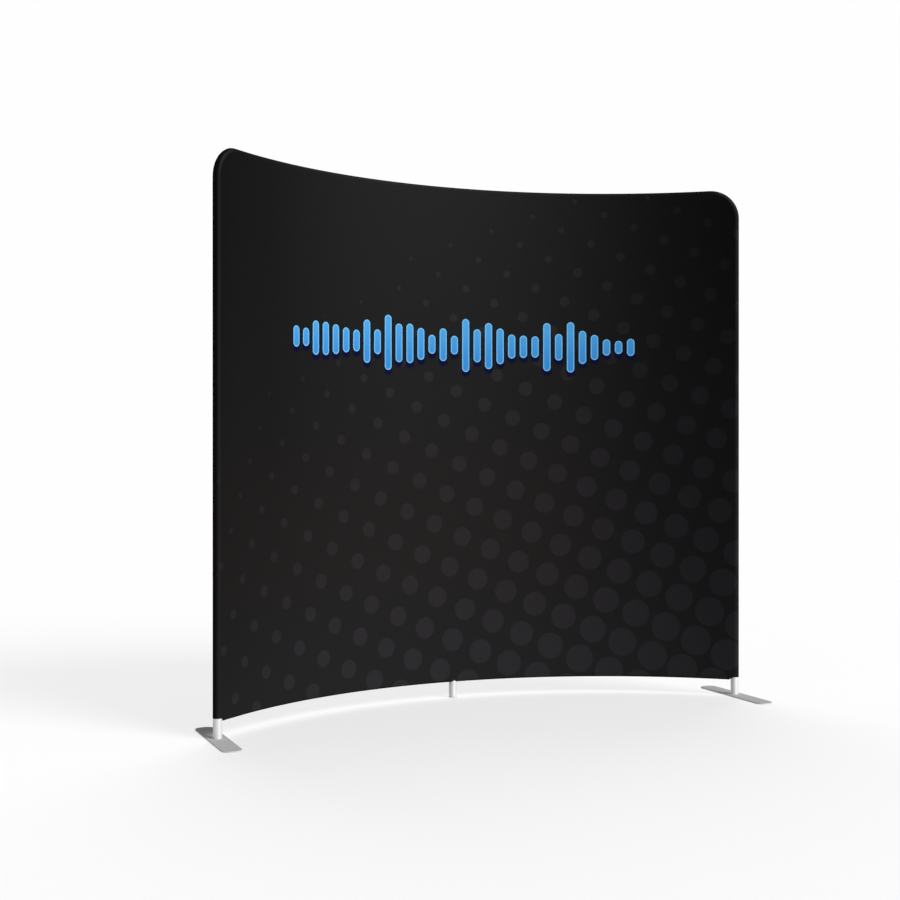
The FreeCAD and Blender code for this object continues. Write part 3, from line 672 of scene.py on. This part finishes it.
def fabric_panel(name, side, material, windows):
    """Half of the cover: side is 1 for the front and -1 for the back."""
    columns, rows = panel_lines(windows)
    outer, inner, flat, faces, index = [], [], [], [], {}

    def ripple(s, z):
        """Slight ease in the cloth, none at its edges."""
        share = 1.0
        for gap, reach in ((EDGE - abs(s), EASE_RIM), (TOP - z, EASE_RIM), (z - HEM_Z, EASE_HEM)):
            share *= min(1.0, max(0.0, gap / reach))
        return EASE * share * noise.noise(Vector((s * 1.3, z * 0.6, 2.0 + side)))

    def add(key, point, deep, place):
        index[key] = len(outer)
        outer.append(point)
        inner.append(deep)
        flat.append(place)

    def half_width(z):
        """How far the flat face reaches from its middle at a height."""
        if z <= BEND:
            return EDGE
        return EDGE - CORNER + math.sqrt(max(0.0, CORNER ** 2 - (z - BEND) ** 2))

    for j, z in enumerate(rows):
        for i, s in enumerate(columns):
            if abs(s) <= half_width(z) + 1e-6:
                out = COVER + ripple(s, z)
                height = z if j else z + leg_rise(s)
                add((i, j), wall(s, side * out, height), wall(s, side * (out - CLOTH), height),
                    (s, height))

    def in_window(s, z):
        return any(a < abs(s) < b and low < z < high for a, b, low, high in windows)

    def face(*keys):
        ring = [index[key] for key in keys]
        faces.append(ring if side > 0 else ring[::-1])

    top = len(rows) - 1
    filled = [[i for i in range(len(columns)) if (i, j) in index] for j in range(top + 1)]
    for j in range(top):
        lower, upper = filled[j], filled[j + 1]
        for i in upper[:-1]:
            if not in_window((columns[i] + columns[i + 1]) / 2, (rows[j] + rows[j + 1]) / 2):
                face((i, j), (i + 1, j), (i + 1, j + 1), (i, j + 1))
        if upper[0] > lower[0]:
            face(*[(i, j) for i in range(lower[0], upper[0] + 1)], (upper[0], j + 1))
        if upper[-1] < lower[-1]:
            face(*[(i, j) for i in range(upper[-1], lower[-1] + 1)], (upper[-1], j + 1))

    # The rim of the face, from the lower left, over the top and down to the lower right
    rim = [(filled[j][0], j) for j in range(top)]
    rim += [(i, top) for i in filled[top]]
    rim += [(filled[j][-1], j) for j in reversed(range(top))]

    def rim_normal(s, z):
        """The way out of the face at its rim, along the wall and up."""
        side_gap = abs(s) - (EDGE - CORNER)
        if side_gap <= 1e-9:
            return Vector((0.0, 1.0))
        if z <= BEND:
            return Vector((math.copysign(1.0, s), 0.0))
        return Vector((math.copysign(side_gap, s), z - BEND)).normalized()

    for number, key in enumerate(rim):
        s, z = flat[index[key]]
        normal = rim_normal(s, z)
        way = along(s) * normal.x + UP * normal.y
        for step in range(1, WRAP_STEPS + 1):
            a = QUARTER * step / WRAP_STEPS
            ray = front(s) * (side * math.cos(a)) + way * math.sin(a)
            base = wall(s, 0, z)
            place = (s + normal.x * COVER * a, z + normal.y * COVER * a)
            add(("wrap", number, step), base + ray * COVER, base + ray * (COVER - CLOTH), place)
    for number in range(len(rim) - 1):
        for step in range(WRAP_STEPS):
            ends = []
            for n in (number, number + 1):
                ends.append([rim[n] if step == 0 else ("wrap", n, step), ("wrap", n, step + 1)])
            face(ends[0][0], ends[1][0], ends[1][1], ends[0][1])

    # The rounded lower edge, from the left seam to the right one
    bottom = [("wrap", 0, step) for step in range(WRAP_STEPS, 0, -1)]
    bottom += [(i, 0) for i in range(len(columns))]
    bottom += [("wrap", len(rim) - 1, step) for step in range(1, WRAP_STEPS + 1)]
    for number, key in enumerate(bottom):
        if key[0] == "wrap":
            s = EDGE if key[1] else -EDGE
            a = QUARTER * key[2] / WRAP_STEPS
            way = front(s) * (side * math.cos(a)) + along(s) * math.copysign(math.sin(a), s)
            end = LEG_HOLE
        else:
            s = columns[key[0]]
            way = front(s) * side
            end = leg_end(s)
        place = flat[index[key]]
        for step in range(1, HEM_STEPS + 1):
            share = step / HEM_STEPS
            spots = []
            for depth in (0.0, CLOTH):
                out, z = hem_profile(end, share, depth)
                spots.append(wall(s, 0, z + leg_rise(s)) + way * out)
            add(("hem", number, step), *spots, (place[0], place[1] - HEM_PRINT * share))
    for number in range(len(bottom) - 1):
        for step in range(HEM_STEPS):
            ends = []
            for n in (number, number + 1):
                ends.append([bottom[n] if step == 0 else ("hem", n, step), ("hem", n, step + 1)])
            face(ends[1][0], ends[0][0], ends[0][1], ends[1][1])
    return closed_sheet(name, outer, inner, faces, flat, material)


half_zip = CHAIN / 2 + ZIP_TAPE
zip_window = (ZIP_FIRST * RADIUS, ZIP_LAST * RADIUS, ZIP_Z - half_zip, ZIP_Z + half_zip)
front_cloth = fabric_panel("cover_front", 1, PRINT, [])
back_cloth = fabric_panel("cover_back", -1, PLAIN, [zip_window])


# Sewn seam where the panels meet, and bound edges round the legs
SEAM_STEP = 0.0022
SEAM_RADII = (0.00055, 0.00085)
BINDING_STEPS = 72
BINDING_RADII = (0.0005, 0.0007)
THREAD_SIDES = 6


def seam_path(step):
    """Points up the left side, over the top and down the right side, at most a step apart."""
    path = [wall(-EDGE, 0, z) - along(-EDGE) * COVER for z in spread(ARCH_Z + LEG_RISE, BEND, step)]
    bend = CORNER + COVER
    count = math.ceil(QUARTER * bend / step)
    for k in range(1, count):
        a = QUARTER * k / count
        level = wall(CORNER - EDGE, 0, BEND + bend * math.sin(a))
        path.append(level - along(-EDGE) * (bend * math.cos(a)))
    path += [wall(s, 0, HEIGHT) for s in spread(CORNER - EDGE, 0.0, step)]
    return path + [Vector((-p.x, p.y, p.z)) for p in reversed(path[:-1])]


def sewn_seam():
    path = seam_path(SEAM_STEP)
    radii = [SEAM_RADII[i % 2] for i in range(len(path))]
    return tube_along("cover_seam", path, radii, THREAD_SIDES, THREAD)


def leg_binding(name, middle):
    """Thread round the edge of the hole for a leg."""
    path = []
    for k in range(BINDING_STEPS):
        a = 2 * math.pi * k / BINDING_STEPS
        s, out = middle + LEG_HOLE * math.sin(a), LEG_HOLE * math.cos(a)
        spot = wall(middle, out, 0) + along(middle) * (s - middle)
        beyond = abs(s) > EDGE
        z = ARCH_Z if beyond else hem_profile(abs(out), 1.0, 0.0)[1]
        path.append(spot + UP * (z + leg_rise(s) + CLOTH / 2))
    radii = [BINDING_RADII[k % 2] for k in range(BINDING_STEPS)]
    return tube_along(name, path, radii, THREAD_SIDES, THREAD, True)


seam = sewn_seam()
bindings = [leg_binding("leg_binding_" + where, s)
            for where, s in (("left", -EDGE), ("centre", 0.0), ("right", EDGE))]


# Zips: woven tapes, interlocked teeth and the stitches that hold the tapes
TAPE_STEPS = 6
TAPE_TURN = 0.008
TOOTH_PITCH = 0.0024
# Half of a tooth's outline from its foot to its head: height, and half width in pitches
TOOTH_OUTLINE = ((0.0020, 0.45), (0.0008, 0.45), (0.0002, 0.30),
                 (-0.0005, 0.46), (-0.0012, 0.40), (-0.0016, 0.15))
STITCH_PITCH = 0.0034
STITCH_LENGTH = 0.0026
STITCH_INSETS = (0.0020, 0.0055)
STITCH_SIDES = 4
# A stitch from end to end: share of its length, half width and rise
STITCH_PROFILE = ((-0.5, 0.00010, -0.00005), (-0.3, 0.00022, 0.00030),
                  (0.3, 0.00022, 0.00030), (0.5, 0.00010, -0.00005))


def zip_point(sign, angle, lift, z):
    """Point on the back of the cover, at a lift from the middle of the fabric's thickness."""
    reach = ZIP_RADIUS + lift
    return Vector((sign * reach * math.sin(angle), ARC_Y + reach * math.cos(angle), z))


def zip_tapes(side, sign):
    """Two woven tapes, above and below the teeth."""
    outer, inner, flat, faces = [], [], [], []
    angles = spread(ZIP_FIRST, ZIP_LAST, TAPE_TURN)
    for low in (ZIP_Z + CHAIN / 2, ZIP_Z - CHAIN / 2 - ZIP_TAPE):
        start = len(outer)
        levels = [low + ZIP_TAPE * k / TAPE_STEPS for k in range(TAPE_STEPS + 1)]
        for angle in angles:
            for z in levels:
                outer.append(zip_point(sign, angle, CLOTH / 2, z))
                inner.append(zip_point(sign, angle, -CLOTH / 2, z))
                flat.append((angle * ZIP_RADIUS, z))
        for i in range(len(angles) - 1):
            for k in range(TAPE_STEPS):
                a, b = start + i * len(levels) + k, start + (i + 1) * len(levels) + k
                ring = [a, a + 1, b + 1, b]
                faces.append(ring if sign > 0 else ring[::-1])
    return closed_sheet(side + "_tapes", outer, inner, faces, flat, TAPE)


def zip_teeth(side, sign):
    """Moulded teeth, from alternate sides, each with a foot on its tape and a rounded head."""
    points, faces = [], []
    first = ZIP_FIRST + STOP / ZIP_RADIUS
    last = ZIP_LAST - SLIDER_PARK / ZIP_RADIUS
    count = int((last - first) * ZIP_RADIUS / (TOOTH_PITCH / 2)) - 1
    for number in range(count):
        upper = 1 if number % 2 else -1
        middle = first + (number + 1) * TOOTH_PITCH / 2 / ZIP_RADIUS
        start = len(points)
        for lift in (CHAIN_THICKNESS / 2, -CHAIN_THICKNESS / 2):
            for hand in (1, -1):
                for height, width in TOOTH_OUTLINE[::hand]:
                    angle = middle + hand * width * TOOTH_PITCH / ZIP_RADIUS
                    points.append(zip_point(sign, angle, lift, ZIP_Z + upper * height))
        n = 2 * len(TOOTH_OUTLINE)
        ring = list(range(start, start + n))
        flip = upper * sign > 0
        faces.append(ring if flip else ring[::-1])
        back = list(range(start + n, start + 2 * n))
        faces.append(back[::-1] if flip else back)
        for k in range(n):
            a, b = ring[k], ring[(k + 1) % n]
            quad = [b, a, a + n, b + n]
            faces.append(quad if flip else quad[::-1])
    return mesh_object(side + "_teeth", points, faces, ZIP_TEETH, False)


def stitch_rows(side, sign):
    """Two rows of stitches on each tape, as short raised threads."""
    points, faces = [], []
    count = int((ZIP_LAST - ZIP_FIRST) * ZIP_RADIUS / STITCH_PITCH) - 1
    n = STITCH_SIDES
    rows = []
    for inset in STITCH_INSETS:
        rows += [ZIP_Z + half_zip - inset, ZIP_Z - half_zip + inset]
    for row in rows:
        for number in range(count):
            middle = ZIP_FIRST + (number + 1) * STITCH_PITCH / ZIP_RADIUS
            start = len(points)
            for share, width, rise in STITCH_PROFILE:
                angle = middle + share * STITCH_LENGTH / ZIP_RADIUS
                for k in range(n):
                    turn = QUARTER * k
                    lift = CLOTH / 2 + rise * 0.5 + width * math.cos(turn)
                    points.append(zip_point(sign, angle, lift, row + width * math.sin(turn)))
            for first in range(start, len(points) - n, n):
                for k in range(n):
                    a, b = first + k, first + (k + 1) % n
                    faces.append((a, b, b + n, a + n) if sign < 0 else (a, a + n, b + n, b))
            caps = [list(range(start, start + n)), list(range(len(points) - n, len(points)))]
            faces.append(tuple(caps[0][::-1] if sign < 0 else caps[0]))
            faces.append(tuple(caps[1] if sign < 0 else caps[1][::-1]))
    return mesh_object(side + "_stitches", points, faces, THREAD)


tapes, teeth, stitches = {}, {}, {}
for side, sign in (("left", -1), ("right", 1)):
    tapes[side] = zip_tapes(side, sign)
    teeth[side] = zip_teeth(side, sign)
    stitches[side] = stitch_rows(side, sign)


# Snap springs inside the plugs, one for each button
def separate_solids(node):
    """The points and faces of each separate solid in a CAD node."""
    whole = bmesh.new()
    whole.from_mesh(node.data)
    bmesh.ops.remove_doubles(whole, verts=whole.verts, dist=1e-6)
    seen, solids = set(), []
    for start in whole.verts:
        if start in seen:
            continue
        island, queue = [], [start]
        seen.add(start)
        while queue:
            vertex = queue.pop()
            island.append(vertex)
            for edge in vertex.link_edges:
                other = edge.other_vert(vertex)
                if other not in seen:
                    seen.add(other)
                    queue.append(other)
        place = {vertex: number for number, vertex in enumerate(island)}
        faces = {face for vertex in island for face in vertex.link_faces}
        rings = sorted(tuple(place[vertex] for vertex in face.verts) for face in faces)
        solids.append(([vertex.co.copy() for vertex in island], rings))
    whole.free()
    return solids


def gap_to(joint, point):
    """How far the middle of a joint's moving piece is from a point."""
    return (sum(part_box(joint["child"]), Vector()) / 2 - point).length


presses = [joint for joint in frame["joints"] if joint["name"].endswith("_button_press")]
for points, faces in separate_solids(frame["nodes"]["snap_springs"]):
    middle = sum(points, Vector()) / len(points)
    press = min(presses, key=lambda joint: gap_to(joint, middle))
    axis = Vector(press["axis"])
    far = max(points, key=lambda point: point.dot(axis))
    height = far.dot(axis) - min(point.dot(axis) for point in points)
    spring = mesh_object(press["child"].replace("_button", "_spring"), points, faces, SPRING, False)
    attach(spring, "frame")
    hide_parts("snap_springs")
    1 - press["range_m"][1] / height
    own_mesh(spring)

# What each piece rides on and stands for
for piece, slot in ((front_cloth, "printed_fabric"), (back_cloth, "plain_fabric"),
                    (seam, "plain_fabric")):
    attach(piece, "frame")
for piece in bindings:
    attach(piece, "frame")
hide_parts("front_panel")
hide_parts("back_panel")
for side in ("left", "right"):
    for piece, slot in ((tapes[side], "zip_tape"), (teeth[side], "zip_teeth"),
                        (stitches[side], "zip_tape")):
        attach(piece, "frame")
    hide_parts(side + "_zip_tapes")
    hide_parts(side + "_zip_chain")

flat_width = 2 * (EDGE + COVER * QUARTER)
tape_flat = (2 * ZIP_TAPE, (ZIP_LAST - ZIP_FIRST) * ZIP_RADIUS)

# Camera at the photograph's viewpoint
CAMERA_PLACE = (-2.4817, -5.3065, 1.1215)
CAMERA_TILT = 90.0 - 0.0715
CAMERA_TURN = -23.5838
camera_data = bpy.data.cameras.new("camera")
camera_data.sensor_width = 36.0
camera_data.lens = 54.772
camera_data.clip_end = 200.0
camera = bpy.data.objects.new("camera", camera_data)
camera.location = CAMERA_PLACE
camera.rotation_euler = (math.radians(CAMERA_TILT), 0.0, math.radians(CAMERA_TURN))
scene.collection.objects.link(camera)
scene.camera = camera

# Floor and world: white where they are seen or mirrored, and a plain grey light otherwise
FLOOR_RADIUS = 12.0
FLOOR_SIDES = 64
FLOOR_Z = -0.0004
FLOOR_FADE = (4.0, 11.0)
FLOOR_LIGHT, FLOOR_SEEN = 0.19, 0.635
FLOOR_GREY = (0.221, 0.221, 0.221, 1.0)
WORLD_LIGHT, WORLD_SEEN = 0.344, 0.992
WHITE = (1.0, 1.0, 1.0, 1.0)


def seen_or_mirrored(tree):
    """1 where a thing is seen, directly, mirrored or through glass, and 0 where it gives light."""
    path = tree.nodes.new("ShaderNodeLightPath")
    result = Field(tree, path.outputs["Is Camera Ray"])
    for name in ("Is Glossy Ray", "Is Transmission Ray"):
        result = result.most(Field(tree, path.outputs[name]))
    return result


def floor_material():
    """Pale floor that takes shadows, and fades out towards the world at its edge."""
    material = bpy.data.materials.new("floor")
    material.use_nodes = True
    tree = material.node_tree
    tree.nodes.clear()
    strength = new_node(tree, "ShaderNodeMapRange", {
        "Value": seen_or_mirrored(tree), "To Min": FLOOR_LIGHT, "To Max": FLOOR_SEEN})
    glow = new_node(tree, "ShaderNodeEmission", {
        "Color": WHITE, "Strength": strength.outputs["Result"]})
    matte = new_node(tree, "ShaderNodeBsdfDiffuse", {"Color": FLOOR_GREY})
    both = new_node(tree, "ShaderNodeAddShader", {0: glow.outputs[0], 1: matte.outputs[0]})
    clear = tree.nodes.new("ShaderNodeBsdfTransparent")
    place = tree.nodes.new("ShaderNodeTexCoord")
    length = tree.nodes.new("ShaderNodeVectorMath")
    length.operation = "LENGTH"
    wire(tree, length, {0: place.outputs["Object"]})
    fade = new_node(tree, "ShaderNodeMixShader", {
        "Fac": Field(tree, length.outputs["Value"]).step(*FLOOR_FADE),
        1: both.outputs[0], 2: clear.outputs[0]})
    new_node(tree, "ShaderNodeOutputMaterial", {"Surface": fade.outputs[0]})
    return material


def studio_world():
    """Even world, with one strength where it is seen and another as a light."""
    world = bpy.data.worlds.new("studio")
    world.use_nodes = True
    tree = world.node_tree
    tree.nodes.clear()
    light, seen = [
        new_node(tree, "ShaderNodeBackground", {"Color": WHITE, "Strength": strength}).outputs[0]
        for strength in (WORLD_LIGHT, WORLD_SEEN)]
    pick = new_node(tree, "ShaderNodeMixShader", {"Fac": seen_or_mirrored(tree), 1: light, 2: seen})
    new_node(tree, "ShaderNodeOutputWorld", {"Surface": pick.outputs[0]})
    return world


ring = []
for k in range(FLOOR_SIDES):
    a = 2 * math.pi * k / FLOOR_SIDES
    ring.append((FLOOR_RADIUS * math.cos(a), FLOOR_RADIUS * math.sin(a), FLOOR_Z))
floor = mesh_object("floor", ring, [tuple(range(FLOOR_SIDES))], floor_material(), False)
scene.world = studio_world()


# Lights
def soft_light(name, azimuth, elevation, angle, level):
    """Distant soft light, which gives the level to a white face square to it.

    azimuth is from +X towards +Y, and angle is how wide the light seems, all in degrees.
    """
    a, e = math.radians(azimuth), math.radians(elevation)
    way = Vector((math.cos(a) * math.cos(e), math.sin(a) * math.cos(e), math.sin(e)))
    data = bpy.data.lights.new(name, "SUN")
    data.angle = math.radians(angle)
    data.energy = level * math.pi
    lamp = bpy.data.objects.new(name, data)
    lamp.location = way * 6
    lamp.rotation_euler = way.to_track_quat("Z", "Y").to_euler()
    scene.collection.objects.link(lamp)
    return lamp


soft_light("key", azimuth=-58.4, elevation=39.3, angle=27.9, level=0.90)
rear_light = soft_light("rear", azimuth=68.0, elevation=48.0, angle=49.7, level=0.93)

# A tall softbox at the front that only glossy surfaces show
SOFTBOX_PLACE = (2.13, -5.43, 0.95)
SOFTBOX_BACK = Vector((2.13, -5.75, 0.55))
box_data = bpy.data.lights.new("softbox", "AREA")
box_data.shape = "RECTANGLE"
box_data.size = 1.6
box_data.size_y = 1.8
box_data.energy = 270.0
softbox = bpy.data.objects.new("softbox", box_data)
softbox.location = SOFTBOX_PLACE
softbox.rotation_euler = SOFTBOX_BACK.to_track_quat("Z", "Y").to_euler()
softbox.visible_diffuse = False
scene.collection.objects.link(softbox)

# The rear light is flagged off the foot plates
flagged = bpy.data.collections.new("flagged")
for side in ("left", "right"):
    flagged.objects.link(frame["nodes"][side + "_foot_plate"])
rear_light.light_linking.receiver_collection = flagged
for entry in flagged.collection_objects:
    entry.light_linking.link_state = "EXCLUDE"
